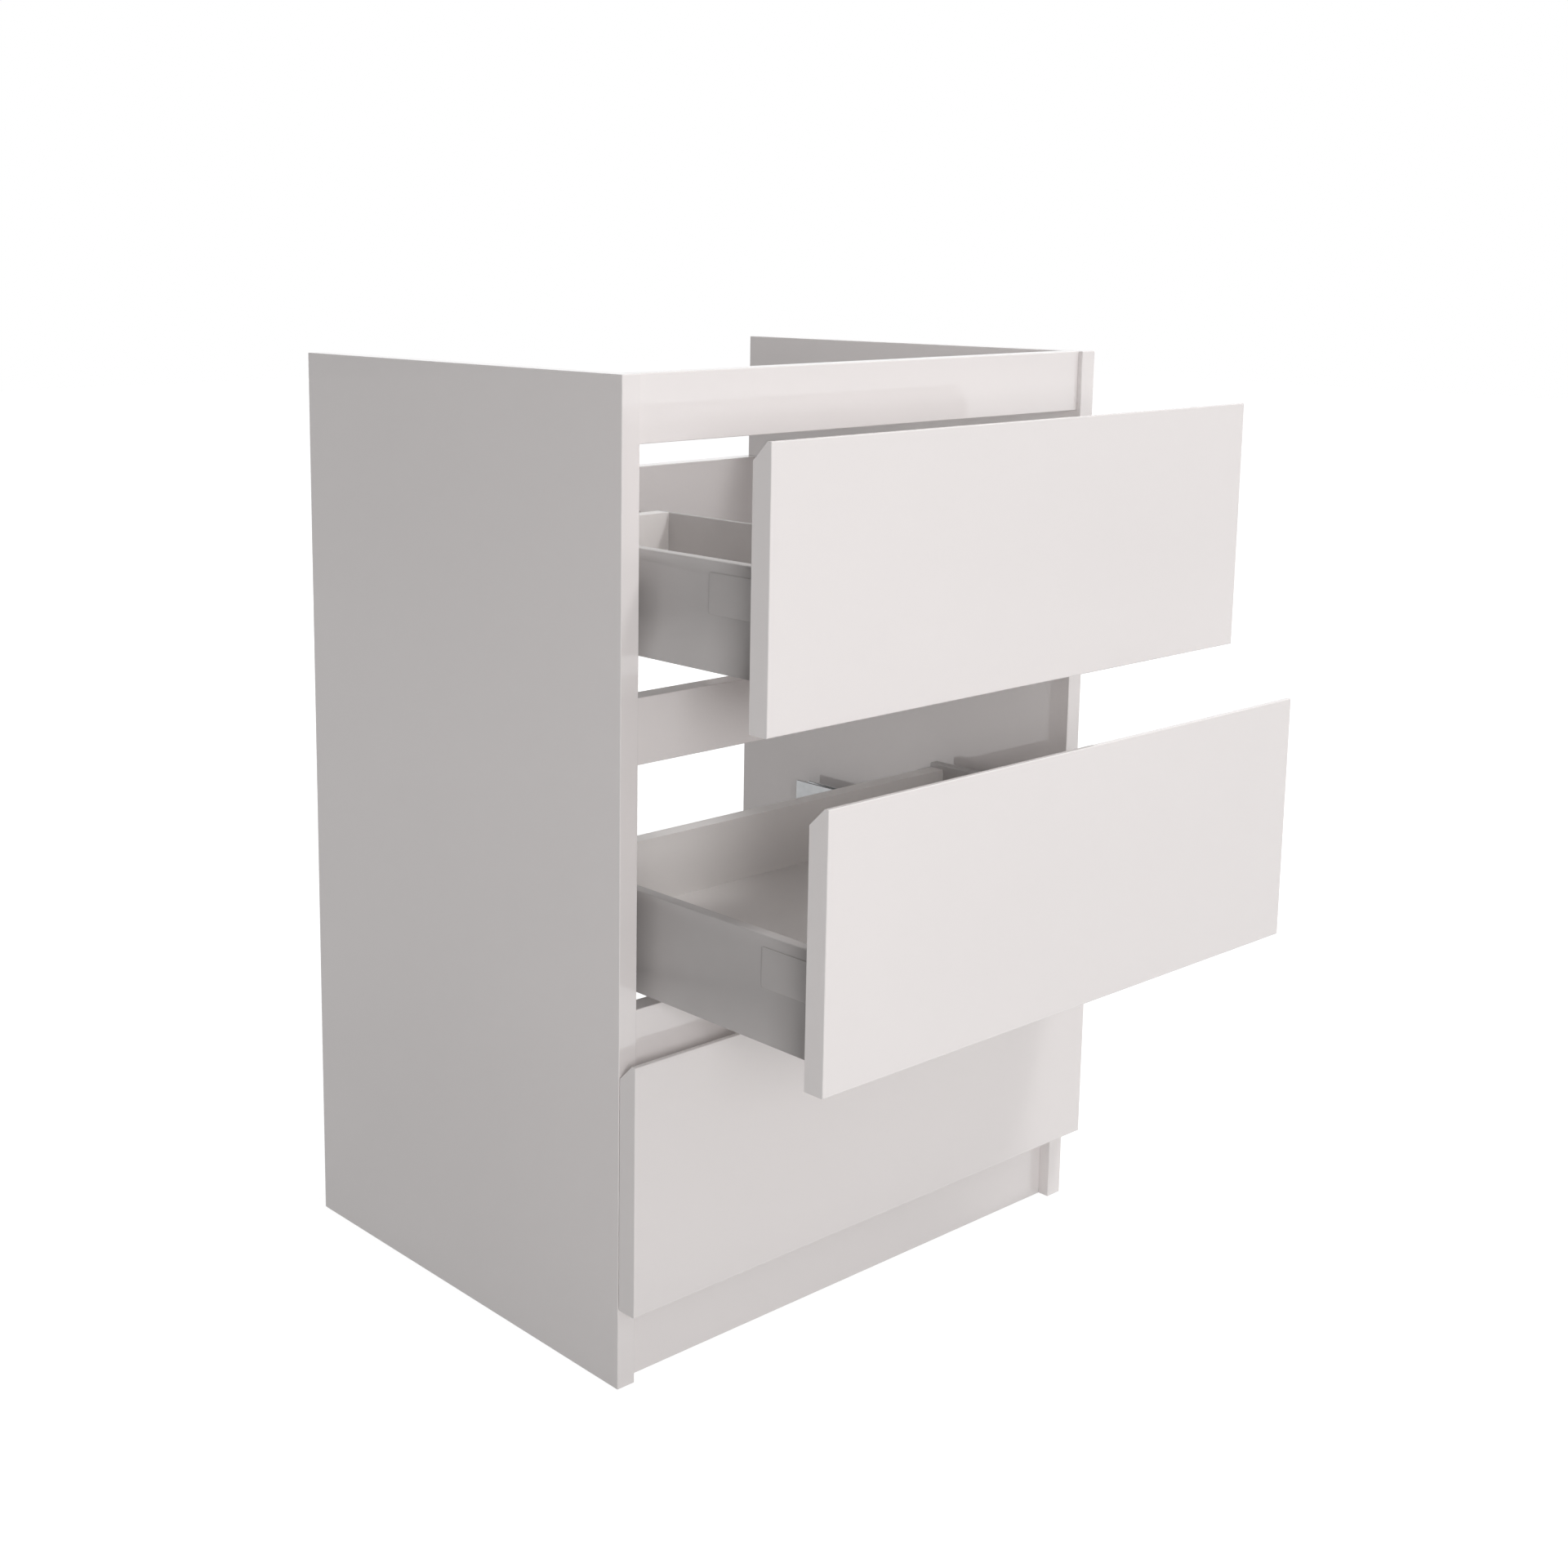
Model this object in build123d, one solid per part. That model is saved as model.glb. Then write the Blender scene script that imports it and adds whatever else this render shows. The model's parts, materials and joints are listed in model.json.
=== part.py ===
from build123d import *
import os

# Bathroom base cabinet: a carcass with an open top and back, and three handleless drawers.
# Millimetres. +Z is up and the drawer fronts face -Y. The origin is on the floor, in the
# middle of the plinth board's underside. Drawers 1 and 2 stand open and drawer 3 is shut.

# Carcass
width = 600.0
depth = 450.0
board = 19.0              # side panels, rails, plinth and floor
base_height = 73.5        # floor to the lower edge of the lowest drawer front
plinth_recess = 11.3      # plinth behind the side panels' front edges
plinth_cover = 2.5        # plinth above the lower edge of the lowest drawer front
rail_height = 56.0
rail_recess = 4.2
middle_rail_drop = 0.0    # rail's top below the lower edge of the drawer front above it
lower_rail_drop = 3.0
rear_rail_height = 100.0
rear_rail_top = 725.0
edge_radius = 0.8         # edge banding

# Drawer fronts, numbered from the top
front_board = 19.0
front_height = 220.5
front_pitch = 261.3
front_gap = 1.3           # closed front to the carcass
grip_slant = 15.0         # height and depth of the slant behind the upper edge
upper_opened = 144.5      # how far drawers 1 and 2 stand out
middle_opened = 208.5

# Drawer boxes
side_gap = 13.0           # side panel to drawer side
side_height = 88.3
side_sheet = 1.2
box_length = 360.0
box_rise = 7.3            # drawer side above the lower edge of its front
upper_box_rise = 32.0     # the same in drawer 1
box_board = 16.0
back_drop = 4.5           # back board's top below the drawer side's top
lip_rise = 6.0            # floor lip above the drawer side's lower edge
lip_width = 14.0
lug_width = 20.0          # rear lug that holds the back board

# Trap cut-out in drawer 1
trap_width = 130.0
trap_wall = 4.0
trap_front = 130.0        # from the front's rear face

# Front brackets and cover caps
bracket_sheet = 2.5
bracket_rise = 40.0       # above the drawer side's lower edge
tongue_length = 70.0
cap_length = 66.0
cap_height = 33.0
cap_sheet = 0.8
cap_lap = 4.0             # cap past its window
cap_setback = 12.0        # from the front's rear face
cap_drop = 9.5            # below the drawer side's top

# Runners
runner_sheet = 1.1
runner_clearance = 0.35
blade = 2.8
blade_rise = 30.0         # blade's top above the drawer side's lower edge
member_leg = 12.0
bracket_foot = 1.5        # sheet of the cabinet member
foot_clearance = 0.6      # web below the drawer side's lower edge
foot_height = 28.0
runner_setback = 26.0     # cabinet member behind the carcass front
runner_length = 320.0
middle_setback = 16.0     # shut middle member behind the carcass front
drawer_member_setback = 9.0     # from the front's rear face
drawer_member_end = 11.0        # from the box's rear end

# Fittings
bore_clearance = 0.05
dowel_radius = 4.0
dowel_length = 30.0
dowel_in_panel = 12.0
cam_radius = 7.5
cam_depth = 13.5
cam_reach = 24.0          # cam's centre from the board's end
bolt_radius = 3.0
bolt_in_panel = 11.0
screw_radius = 2.0
small_screw_radius = 1.5
screw_length = 13.0
head_radius = 4.0
head_height = 2.2
screw_margin = 12.0
buffer_radius = 4.0
buffer_thickness = 1.0
buffer_margin = 24.0      # buffer's centre from the front's upper and lower end
wall_hole_radius = 3.0
wall_hole_spacing = 200.0

# Worked out from the sizes above
carcass_front = -(plinth_recess + board / 2)
carcass_rear = carcass_front + depth
height = base_height + 3 * front_pitch
inner_half = width / 2 - board
middle_width = blade + 2 * (runner_clearance + runner_sheet)
drawer_member_width = middle_width + 2 * (runner_clearance + runner_sheet)
side_width = drawer_member_width + 2 * side_sheet
side_outer = inner_half - side_gap
side_inner = side_outer - side_width
runner_middle = side_outer - side_width / 2
trap_half = trap_width / 2 + trap_wall
drawer_member_length = box_length - drawer_member_setback - drawer_member_end
opened = {1: upper_opened, 2: middle_opened, 3: 0.0}


def block(x0, x1, y0, y1, z0, z1):
    """A box between two corners."""
    corner = (Align.MIN, Align.MIN, Align.MIN)
    return Pos(x0, y0, z0) * Box(x1 - x0, y1 - y0, z1 - z0, align=corner)


def rod(start, direction, radius, length):
    """A cylinder that runs from its start point along a direction."""
    seat = Plane(origin=start, z_dir=direction)
    return seat * Cylinder(radius, length, align=(Align.CENTER, Align.CENTER, Align.MIN))


def panel(x0, x1, y0, y1, z0, z1):
    """A board with edge banding, so that its edges are slightly rounded."""
    raw = block(x0, x1, y0, y1, z0, z1)
    return fillet(raw.edges(), edge_radius)


def both_sides(solids):
    """The given pieces of the right side, with their mirror images."""
    return solids + [mirror(solid, about=Plane.YZ) for solid in solids]


def drilled(piece, holes):
    """The piece less its holes."""
    for hole in holes:
        piece -= hole
    return piece


def write(name, solids):
    """One STEP file for a node: a single solid or a group of separate ones."""
    shape = solids[0] if len(solids) == 1 else Compound(solids)
    shape.label = name
    export_step(shape, f"parts/{name}.step")


def write_pair(name, solid):
    """The same piece on the right side and, mirrored, on the left."""
    write(f"{name}_right", [solid])
    write(f"{name}_left", [mirror(solid, about=Plane.YZ)])


# Places of the drawers

def front_bottom(number):
    return base_height + (3 - number) * front_pitch


def front_back(number):
    """The rear face of a drawer front, which its box starts from."""
    return carcass_front - front_gap - opened[number]


def box_bottom(number):
    return front_bottom(number) + (upper_box_rise if number == 1 else box_rise)


# Carcass joints: each board's end has a cam with its bolt, and dowels beside it

def cam_fitting(y_bolt, z, face, inward):
    """A cam let in from a board's face, its bolt, and where they lie at the board's end.

    The face is a point's y or z on the board's face, and inward points into the board.
    """
    x_cam = inner_half - cam_reach
    if inward.Y:
        centre = (x_cam, face, z)
    else:
        centre = (x_cam, y_bolt, face)
    bolt_length = cam_reach - cam_radius + bolt_in_panel
    bolt_start = (x_cam + cam_radius, y_bolt, z)
    return {
        "cam": rod(centre, inward, cam_radius, cam_depth),
        "cam_hole": rod(centre, inward, cam_radius + bore_clearance, cam_depth + bore_clearance),
        "bolt": rod(bolt_start, (1, 0, 0), bolt_radius, bolt_length),
        "bolt_hole": rod(bolt_start, (1, 0, 0), bolt_radius + bore_clearance,
                         bolt_length + bore_clearance),
    }


def dowel(y, z):
    """A dowel between a board's end and the side panel, and its hole."""
    start = inner_half + dowel_in_panel - dowel_length
    hole_start = start - bore_clearance
    hole_length = dowel_length + 2 * bore_clearance
    return {
        "dowel": rod((start, y, z), (1, 0, 0), dowel_radius, dowel_length),
        "dowel_hole": rod((hole_start, y, z), (1, 0, 0), dowel_radius + bore_clearance, hole_length),
    }


def end_joint(cams, dowels):
    """The fittings of one board's end: cams as (y, z, face, inward), dowels as (y, z)."""
    joint = {"cam": [], "cam_hole": [], "bolt": [], "bolt_hole": [], "dowel": [], "dowel_hole": []}
    for place in cams:
        for key, solid in cam_fitting(*place).items():
            joint[key].append(solid)
    for place in dowels:
        for key, solid in dowel(*place).items():
            joint[key].append(solid)
    return joint


def upright_joint(y0, z0, z1, cam_count):
    """The end joint of an upright board: cams from its rear face, a dowel above and below."""
    y_middle = y0 + board / 2
    step = (z1 - z0) / (cam_count + 1)
    inward = Vector(0, -1, 0)
    cams = [(y_middle, z0 + step * (i + 1), y0 + board, inward) for i in range(cam_count)]
    dowel_margin = (z1 - z0) / 6
    dowels = [(y_middle, z0 + dowel_margin), (y_middle, z1 - dowel_margin)]
    return end_joint(cams, dowels)


def joint_holes(joint, kinds):
    return [hole for kind in kinds for hole in joint[kind]]


def joined_board(joint, corners):
    """A board between the side panels, drilled at both ends for its joint."""
    holes = both_sides(joint_holes(joint, ("cam_hole", "bolt_hole", "dowel_hole")))
    return drilled(panel(-inner_half, inner_half, *corners), holes)


# Carcass boards

def rail_places():
    """The three front rails, each with its lowest and highest z."""
    tops = {
        "front_rail_top": height,
        "front_rail_middle": front_bottom(1) - middle_rail_drop,
        "front_rail_lower": front_bottom(2) - lower_rail_drop,
    }
    return {name: (top - rail_height, top) for name, top in tops.items()}


def carcass_boards():
    """The boards between the side panels, each with its joint and its corners."""
    rail_front = carcass_front + rail_recess
    boards = {}
    for name, (low, high) in rail_places().items():
        boards[name] = (upright_joint(rail_front, low, high, 1),
                        (rail_front, rail_front + board, low, high))

    rear = (carcass_rear - board, carcass_rear, rear_rail_top - rear_rail_height, rear_rail_top)
    boards["rear_rail"] = (upright_joint(rear[0], rear[2], rear[3], 2), rear)

    plinth_front = carcass_front + plinth_recess
    plinth_top = base_height + plinth_cover
    plinth = (plinth_front, plinth_front + board, 0.0, plinth_top)
    boards["plinth_board"] = (upright_joint(plinth_front, 0.0, plinth_top, 1), plinth)

    floor = (plinth_front + board, carcass_rear, base_height - board, base_height)
    span = floor[1] - floor[0]
    floor_z = base_height - board / 2
    up = Vector(0, 0, 1)
    cams = [(floor[0] + span * share, floor_z, floor[2], up) for share in (1 / 6, 5 / 6)]
    dowels = [(floor[0] + span * share, floor_z) for share in (1 / 3, 1 / 2, 2 / 3)]
    boards["carcass_floor"] = (end_joint(cams, dowels), floor)
    return boards


def wall_holes():
    """Two holes through the rear rail for the screws into the wall."""
    z = rear_rail_top - rear_rail_height / 2
    start = carcass_rear - board - bore_clearance
    length = board + 2 * bore_clearance
    return [rod((side * wall_hole_spacing / 2, start, z), (0, 1, 0), wall_hole_radius, length)
            for side in (-1, 1)]


def side_panel(boards):
    """The right side panel, drilled for the boards' joints and the runner screws."""
    holes = []
    for joint, corners in boards.values():
        holes += joint_holes(joint, ("bolt_hole", "dowel_hole"))
    for number in opened:
        holes += runner_screws(number, bore_clearance)
    raw = panel(inner_half, width / 2, carcass_front, carcass_rear, 0.0, height)
    return drilled(raw, holes)


# Runners, drawn for the right side

def cabinet_member(number):
    """A foot screwed to the side panel, a web below the drawer side, and the blade inside it."""
    low = box_bottom(number)
    y0 = carcass_front + runner_setback
    y1 = y0 + runner_length
    web_top = low - foot_clearance
    web_bottom = web_top - bracket_foot
    foot = block(inner_half - bracket_foot, inner_half, y0, y1, web_bottom, web_bottom + foot_height)
    web = block(runner_middle - blade / 2, inner_half, y0, y1, web_bottom, web_top)
    rail = block(runner_middle - blade / 2, runner_middle + blade / 2, y0, y1,
                 web_bottom, low + blade_rise)
    holes = runner_screws(number, bore_clearance)
    return drilled(foot + web + rail, holes)


def channel(outer_width, y0, y1, inside_top):
    """A channel, open below, that runs over the member inside it."""
    half = outer_width / 2
    top = inside_top + runner_sheet
    bottom = top - member_leg
    body = block(runner_middle - half, runner_middle + half, y0, y1, bottom, top)
    room = half - runner_sheet
    return body - block(runner_middle - room, runner_middle + room, y0, y1, bottom, inside_top)


def middle_member(number):
    """The member between the other two, which travels half as far as the drawer."""
    y0 = carcass_front + middle_setback - opened[number] / 2
    inside_top = box_bottom(number) + blade_rise + runner_clearance
    return channel(middle_width, y0, y0 + runner_length, inside_top)


def drawer_member(number):
    """The member fixed inside the hollow drawer side."""
    y0 = front_back(number) + drawer_member_setback
    middle_top = box_bottom(number) + blade_rise + runner_clearance + runner_sheet
    return channel(drawer_member_width, y0, y0 + drawer_member_length, middle_top + runner_clearance)


def screw(tip, direction, length, head_at, clearance=0.0):
    """A pan head screw: its head stands on head_at and its shank ends at the tip."""
    shank = rod(tip, direction, screw_radius + clearance, length)
    return shank if clearance else shank + rod(head_at, direction, head_radius, head_height)


def runner_screws(number, clearance=0.0):
    """Three screws through the foot of a cabinet member into the side panel."""
    y0 = carcass_front + runner_setback + screw_margin
    step = (runner_length - 2 * screw_margin) / 2
    z = box_bottom(number) - foot_clearance - bracket_foot + foot_height / 2
    face = inner_half - bracket_foot
    tip = face + screw_length
    return [screw((tip, y0 + step * i, z), (-1, 0, 0), screw_length,
                  (face, y0 + step * i, z), clearance) for i in range(3)]


# Drawer boxes

def drawer_side(number):
    """The right side: a hollow sheet profile with a floor lip and a lug behind the back board."""
    low = box_bottom(number)
    high = low + side_height
    y0 = front_back(number)
    back_face = y0 + box_length
    y1 = back_face + side_sheet
    lip = low + lip_rise
    inner_face = side_inner + side_sheet

    shell = block(side_inner, side_outer, y0, y1, low, high)
    top_edges = shell.edges().filter_by(Axis.Y).group_by(Axis.Z)[-1]
    shell = fillet(top_edges, side_sheet)
    shell -= block(inner_face, side_outer - side_sheet, y0, y1, low, high - side_sheet)
    shell -= block(side_inner, inner_face, y0, y1, low, lip)

    shell += block(side_inner - lip_width, inner_face, y0, back_face, lip, lip + side_sheet)
    shell += block(side_inner - lug_width, inner_face, back_face, y1, lip, high - back_drop)

    z0, z1, w0, w1 = cap_place(number)
    shell -= block(side_outer - side_sheet, side_outer, w0 + cap_lap, w1 - cap_lap,
                   z0 + cap_lap, z1 - cap_lap)
    holes = bottom_screws(number, bore_clearance) + back_screws(number, bore_clearance)
    return drilled(shell, holes)


def cap_place(number):
    """Lowest and highest z, and front and rear y, of the cover cap."""
    z1 = box_bottom(number) + side_height - cap_drop
    y0 = front_back(number) + cap_setback
    return z1 - cap_height, z1, y0, y0 + cap_length


def cover_cap(number):
    """The cap on the outer face, with a plug that fills the window behind it."""
    z0, z1, y0, y1 = cap_place(number)
    plate = block(side_outer, side_outer + cap_sheet, y0, y1, z0, z1)
    plate = fillet(plate.edges().filter_by(Axis.X), cap_lap / 2)
    inset = cap_lap + bore_clearance
    plug = block(side_outer - side_sheet, side_outer, y0 + inset, y1 - inset, z0 + inset, z1 - inset)
    return plate + plug


def front_bracket(number):
    """The bracket inside the drawer side: a plate on the front and a tongue behind the cap."""
    low = box_bottom(number) + bracket_rise
    high = box_bottom(number) + side_height - side_sheet
    y0 = front_back(number)
    inside = side_outer - side_sheet
    plate = block(side_inner + side_sheet, inside, y0, y0 + bracket_sheet, low, high)
    tongue = block(inside - bracket_sheet, inside, y0, y0 + tongue_length, low, high)
    return drilled(plate + tongue, front_screws(number, bore_clearance))


def front_screws(number, clearance=0.0):
    """Two screws through the bracket into the drawer front."""
    low = box_bottom(number) + bracket_rise
    span = side_height - side_sheet - bracket_rise
    y = front_back(number) + bracket_sheet
    x = side_inner + side_sheet + (drawer_member_width - bracket_sheet) / 2
    narrow = min(head_radius, (drawer_member_width - bracket_sheet) / 2)
    screws = []
    for share in (1 / 4, 3 / 4):
        z = low + span * share
        shank = rod((x, y - screw_length, z), (0, 1, 0), small_screw_radius + clearance, screw_length)
        head = rod((x, y, z), (0, 1, 0), narrow, head_height)
        screws.append(shank if clearance else shank + head)
    return screws


def bottom_screws(number, clearance=0.0):
    """Three screws up through the floor lip into the drawer bottom."""
    x = side_inner - lip_width / 2
    z = box_bottom(number) + lip_rise
    y0 = front_back(number) + screw_margin
    step = (box_length - box_board - 2 * screw_margin) / 2
    return [screw((x, y0 + step * i, z + screw_length), (0, 0, -1), screw_length,
                  (x, y0 + step * i, z), clearance) for i in range(3)]


def back_screws(number, clearance=0.0):
    """Two screws through the rear lug into the end of the back board."""
    x = side_inner - lug_width / 2
    y = front_back(number) + box_length + side_sheet
    low = box_bottom(number) + lip_rise
    span = side_height - lip_rise - back_drop
    return [screw((x, y - screw_length, low + span * share), (0, 1, 0), screw_length,
                  (x, y, low + span * share), clearance) for share in (1 / 3, 2 / 3)]


def drawer_front(number):
    """The front, with a slant behind its upper edge that the fingers reach into."""
    z0 = front_bottom(number)
    y1 = front_back(number)
    raw = block(-width / 2, width / 2, y1 - front_board, y1, z0, z0 + front_height)
    top_rear = raw.edges().filter_by(Axis.X).sort_by(lambda edge: edge.center().Z + edge.center().Y)[-1]
    raw = chamfer(top_rear, grip_slant)
    outer = raw.faces().sort_by(Axis.Y)[0].edges()
    raw = fillet(outer, edge_radius)
    return drilled(raw, both_sides(front_screws(number, bore_clearance)))


def drawer_bottom(number):
    """The bottom board, which lies on the floor lips of both sides."""
    y0 = front_back(number)
    z0 = box_bottom(number) + lip_rise + side_sheet
    floor = block(-side_inner, side_inner, y0, y0 + box_length - box_board, z0, z0 + box_board)
    if number == 1:
        y_cut = y0 + trap_front - trap_wall
        floor -= block(-trap_half, trap_half, y_cut, y0 + box_length, z0, z0 + box_board)
    return drilled(floor, both_sides(bottom_screws(number, bore_clearance)))


def drawer_back(number, x0, x1):
    """A back board between two x, its screw holes drilled from the lug."""
    y1 = front_back(number) + box_length
    z0 = box_bottom(number) + lip_rise + side_sheet
    z1 = box_bottom(number) + side_height - back_drop
    raw = block(x0, x1, y1 - box_board, y1, z0, z1)
    return drilled(raw, both_sides(back_screws(number, bore_clearance)))


def trap_surround():
    """The U-shaped wall round the cut-out in drawer 1, open to the rear."""
    y0 = front_back(1) + trap_front - trap_wall
    y1 = front_back(1) + box_length
    z0 = box_bottom(1) + lip_rise + side_sheet
    z1 = box_bottom(1) + side_height - back_drop
    outer = block(-trap_half, trap_half, y0, y1, z0, z1)
    room = trap_half - trap_wall
    return outer - block(-room, room, y0 + trap_wall, y1, z0, z1)


def buffers(number):
    """Soft pads on the front's rear face, which meet the side panels' front edges."""
    x = width / 2 - board / 2
    y = front_back(number)
    low = front_bottom(number) + buffer_margin
    high = front_bottom(number) + front_height - grip_slant - buffer_margin
    return [rod((x, y, z), (0, 1, 0), buffer_radius, buffer_thickness) for z in (low, high)]


def write_carcass():
    boards = carcass_boards()
    write_pair("side_panel", side_panel(boards))
    for name, (joint, corners) in boards.items():
        piece = joined_board(joint, corners)
        if name == "rear_rail":
            piece = drilled(piece, wall_holes())
        write(name, [piece])
    names = {"dowel": "carcass_dowels", "cam": "carcass_cams", "bolt": "carcass_cam_bolts"}
    for kind, name in names.items():
        write(name, both_sides([solid for joint, corners in boards.values() for solid in joint[kind]]))
    write("runner_screws", both_sides([solid for number in opened for solid in runner_screws(number)]))


def write_drawer(number):
    write(f"drawer_{number}_front", [drawer_front(number)])
    write(f"drawer_{number}_bottom", [drawer_bottom(number)])
    write_pair(f"drawer_{number}_side", drawer_side(number))
    if number == 1:
        write_pair("drawer_1_back", drawer_back(1, trap_half, side_inner))
        write("drawer_1_trap_surround", [trap_surround()])
    else:
        write(f"drawer_{number}_back", [drawer_back(number, -side_inner, side_inner)])
    write_pair(f"runner_{number}_cabinet_member", cabinet_member(number))
    write_pair(f"runner_{number}_middle_member", middle_member(number))
    write_pair(f"runner_{number}_drawer_member", drawer_member(number))
    write(f"drawer_{number}_front_brackets", both_sides([front_bracket(number)]))
    write(f"drawer_{number}_cover_caps", both_sides([cover_cap(number)]))
    screws = front_screws(number) + bottom_screws(number) + back_screws(number)
    write(f"drawer_{number}_screws", both_sides(screws))
    write(f"drawer_{number}_buffers", both_sides(buffers(number)))


os.makedirs("parts", exist_ok=True)
write_carcass()
for number in opened:
    write_drawer(number)
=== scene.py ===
import json
import math
import random
import bmesh
import bpy
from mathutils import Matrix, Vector

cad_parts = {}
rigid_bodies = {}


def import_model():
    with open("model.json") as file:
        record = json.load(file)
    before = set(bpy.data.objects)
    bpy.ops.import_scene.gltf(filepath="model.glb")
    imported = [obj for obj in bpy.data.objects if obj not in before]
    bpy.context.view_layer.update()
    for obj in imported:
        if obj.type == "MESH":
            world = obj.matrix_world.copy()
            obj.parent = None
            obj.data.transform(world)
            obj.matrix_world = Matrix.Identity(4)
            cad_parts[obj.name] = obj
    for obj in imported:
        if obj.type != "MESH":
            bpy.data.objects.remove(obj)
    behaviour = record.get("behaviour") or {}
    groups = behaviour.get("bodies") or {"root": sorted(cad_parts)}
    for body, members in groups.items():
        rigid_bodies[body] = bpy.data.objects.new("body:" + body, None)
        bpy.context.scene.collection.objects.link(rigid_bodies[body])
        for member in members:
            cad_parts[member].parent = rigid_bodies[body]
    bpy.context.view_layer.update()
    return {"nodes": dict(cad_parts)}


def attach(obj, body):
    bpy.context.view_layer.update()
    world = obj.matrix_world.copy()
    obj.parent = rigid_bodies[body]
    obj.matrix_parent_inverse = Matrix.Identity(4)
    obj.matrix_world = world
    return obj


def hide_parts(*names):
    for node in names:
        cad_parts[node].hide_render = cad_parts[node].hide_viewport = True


for thing in list(bpy.data.objects):
    bpy.data.objects.remove(thing)
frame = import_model()


# The photo studio: white paper that runs out to a white background, an even sky that is
# brighter in front, and four softboxes kept out of the reflections. The camera stands about
# where the photograph was taken from, to the left, with a part of its lens shift.

MM = 0.001


def srgb(code):
    """A colour written as sRGB hex, as the linear colour that a socket takes."""
    parts = [int(code[i:i + 2], 16) / 255 for i in (1, 3, 5)]
    linear = [p / 12.92 if p <= 0.04045 else ((p + 0.055) / 1.055) ** 2.4 for p in parts]
    return (*linear, 1.0)


def add_node(tree, kind, settings=(), feeds=()):
    """A node of one kind, with its settings, and with values or other nodes' sockets fed in."""
    made = tree.nodes.new(kind)
    for name, value in dict(settings).items():
        setattr(made, name, value)
    for name, feed in dict(feeds).items():
        if isinstance(feed, bpy.types.NodeSocket):
            tree.links.new(feed, made.inputs[name])
        else:
            made.inputs[name].default_value = feed
    return made


def seen_directly(tree):
    """1 where the camera, a reflection or glass sees a surface, and 0 where it gives light."""
    rays = add_node(tree, "ShaderNodeLightPath").outputs
    either = add_node(tree, "ShaderNodeMath", {"operation": "MAXIMUM"},
                      {0: rays["Is Camera Ray"], 1: rays["Is Glossy Ray"]})
    return add_node(tree, "ShaderNodeMath", {"operation": "MAXIMUM"},
                    {0: either.outputs[0], 1: rays["Is Transmission Ray"]}).outputs[0]


SKY_ALL_ROUND = 0.12
SKY_IN_FRONT = 0.53
sky = bpy.data.worlds.new("studio")
sky.use_nodes = True
sky.node_tree.nodes.clear()
sky_way = add_node(sky.node_tree, "ShaderNodeTexCoord").outputs["Generated"]
sky_axes = add_node(sky.node_tree, "ShaderNodeSeparateXYZ", {}, {"Vector": sky_way})
sky_level = add_node(sky.node_tree, "ShaderNodeMapRange", {},
                     {"Value": sky_axes.outputs["Y"], "From Min": 0.0, "From Max": -1.0,
                      "To Min": SKY_ALL_ROUND, "To Max": SKY_ALL_ROUND + SKY_IN_FRONT})
sky_light = add_node(sky.node_tree, "ShaderNodeBackground", {},
                     {"Color": srgb("#FFFCFC"), "Strength": sky_level.outputs["Result"]})
sky_white = add_node(sky.node_tree, "ShaderNodeBackground", {},
                     {"Color": srgb("#FFFFFF"), "Strength": 1.0})
sky_mix = add_node(sky.node_tree, "ShaderNodeMixShader", {},
                   {0: seen_directly(sky.node_tree), 1: sky_light.outputs[0],
                    2: sky_white.outputs[0]})
add_node(sky.node_tree, "ShaderNodeOutputWorld", {}, {"Surface": sky_mix.outputs[0]})
bpy.context.scene.world = sky
bpy.context.scene.view_settings.view_transform = "Standard"

FLOOR_HALF = 12.0
FLOOR_DROP = 0.4 * MM      # just below the cabinet's lowest faces
CORNERS = ((-1, -1), (1, -1), (1, 1), (-1, 1))
floor_mesh = bpy.data.meshes.new("studio_floor")
floor_mesh.from_pydata([(x * FLOOR_HALF, y * FLOOR_HALF, -FLOOR_DROP) for x, y in CORNERS],
                       [], [(0, 1, 2, 3)])
floor = bpy.data.objects.new("studio_floor", floor_mesh)
bpy.context.scene.collection.objects.link(floor)

# Matt white paper. Seen directly it glows, more so further out, so that it shows a faint
# shadow near the cabinet and no edge behind it. To the light it is plain paper.
SHADOW_REACH = 0.8         # from here the paper brightens
WHITE_REACH = 2.4          # from here it is as white as the background
NEAR_GLOW = 0.90
paper = bpy.data.materials.new("matt_white_paper")
paper.use_nodes = True
paper.node_tree.nodes.clear()
paper_plain = add_node(paper.node_tree, "ShaderNodeBsdfDiffuse", {}, {"Color": srgb("#C4C3C2")})
paper_faint = add_node(paper.node_tree, "ShaderNodeBsdfDiffuse", {}, {"Color": srgb("#898989")})
paper_place = add_node(paper.node_tree, "ShaderNodeTexCoord").outputs["Object"]
paper_reach = add_node(paper.node_tree, "ShaderNodeVectorMath", {"operation": "LENGTH"},
                       {"Vector": paper_place})
paper_level = add_node(paper.node_tree, "ShaderNodeMapRange", {},
                       {"Value": paper_reach.outputs["Value"], "From Min": SHADOW_REACH,
                        "From Max": WHITE_REACH, "To Min": NEAR_GLOW, "To Max": 1.0})
paper_glow = add_node(paper.node_tree, "ShaderNodeEmission", {},
                      {"Color": srgb("#FFFFFF"), "Strength": paper_level.outputs["Result"]})
paper_seen = add_node(paper.node_tree, "ShaderNodeAddShader", {},
                      {0: paper_faint.outputs[0], 1: paper_glow.outputs[0]})
paper_mix = add_node(paper.node_tree, "ShaderNodeMixShader", {},
                     {0: seen_directly(paper.node_tree), 1: paper_plain.outputs[0],
                      2: paper_seen.outputs[0]})
add_node(paper.node_tree, "ShaderNodeOutputMaterial", {}, {"Surface": paper_mix.outputs[0]})
floor_mesh.materials.append(paper)

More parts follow.
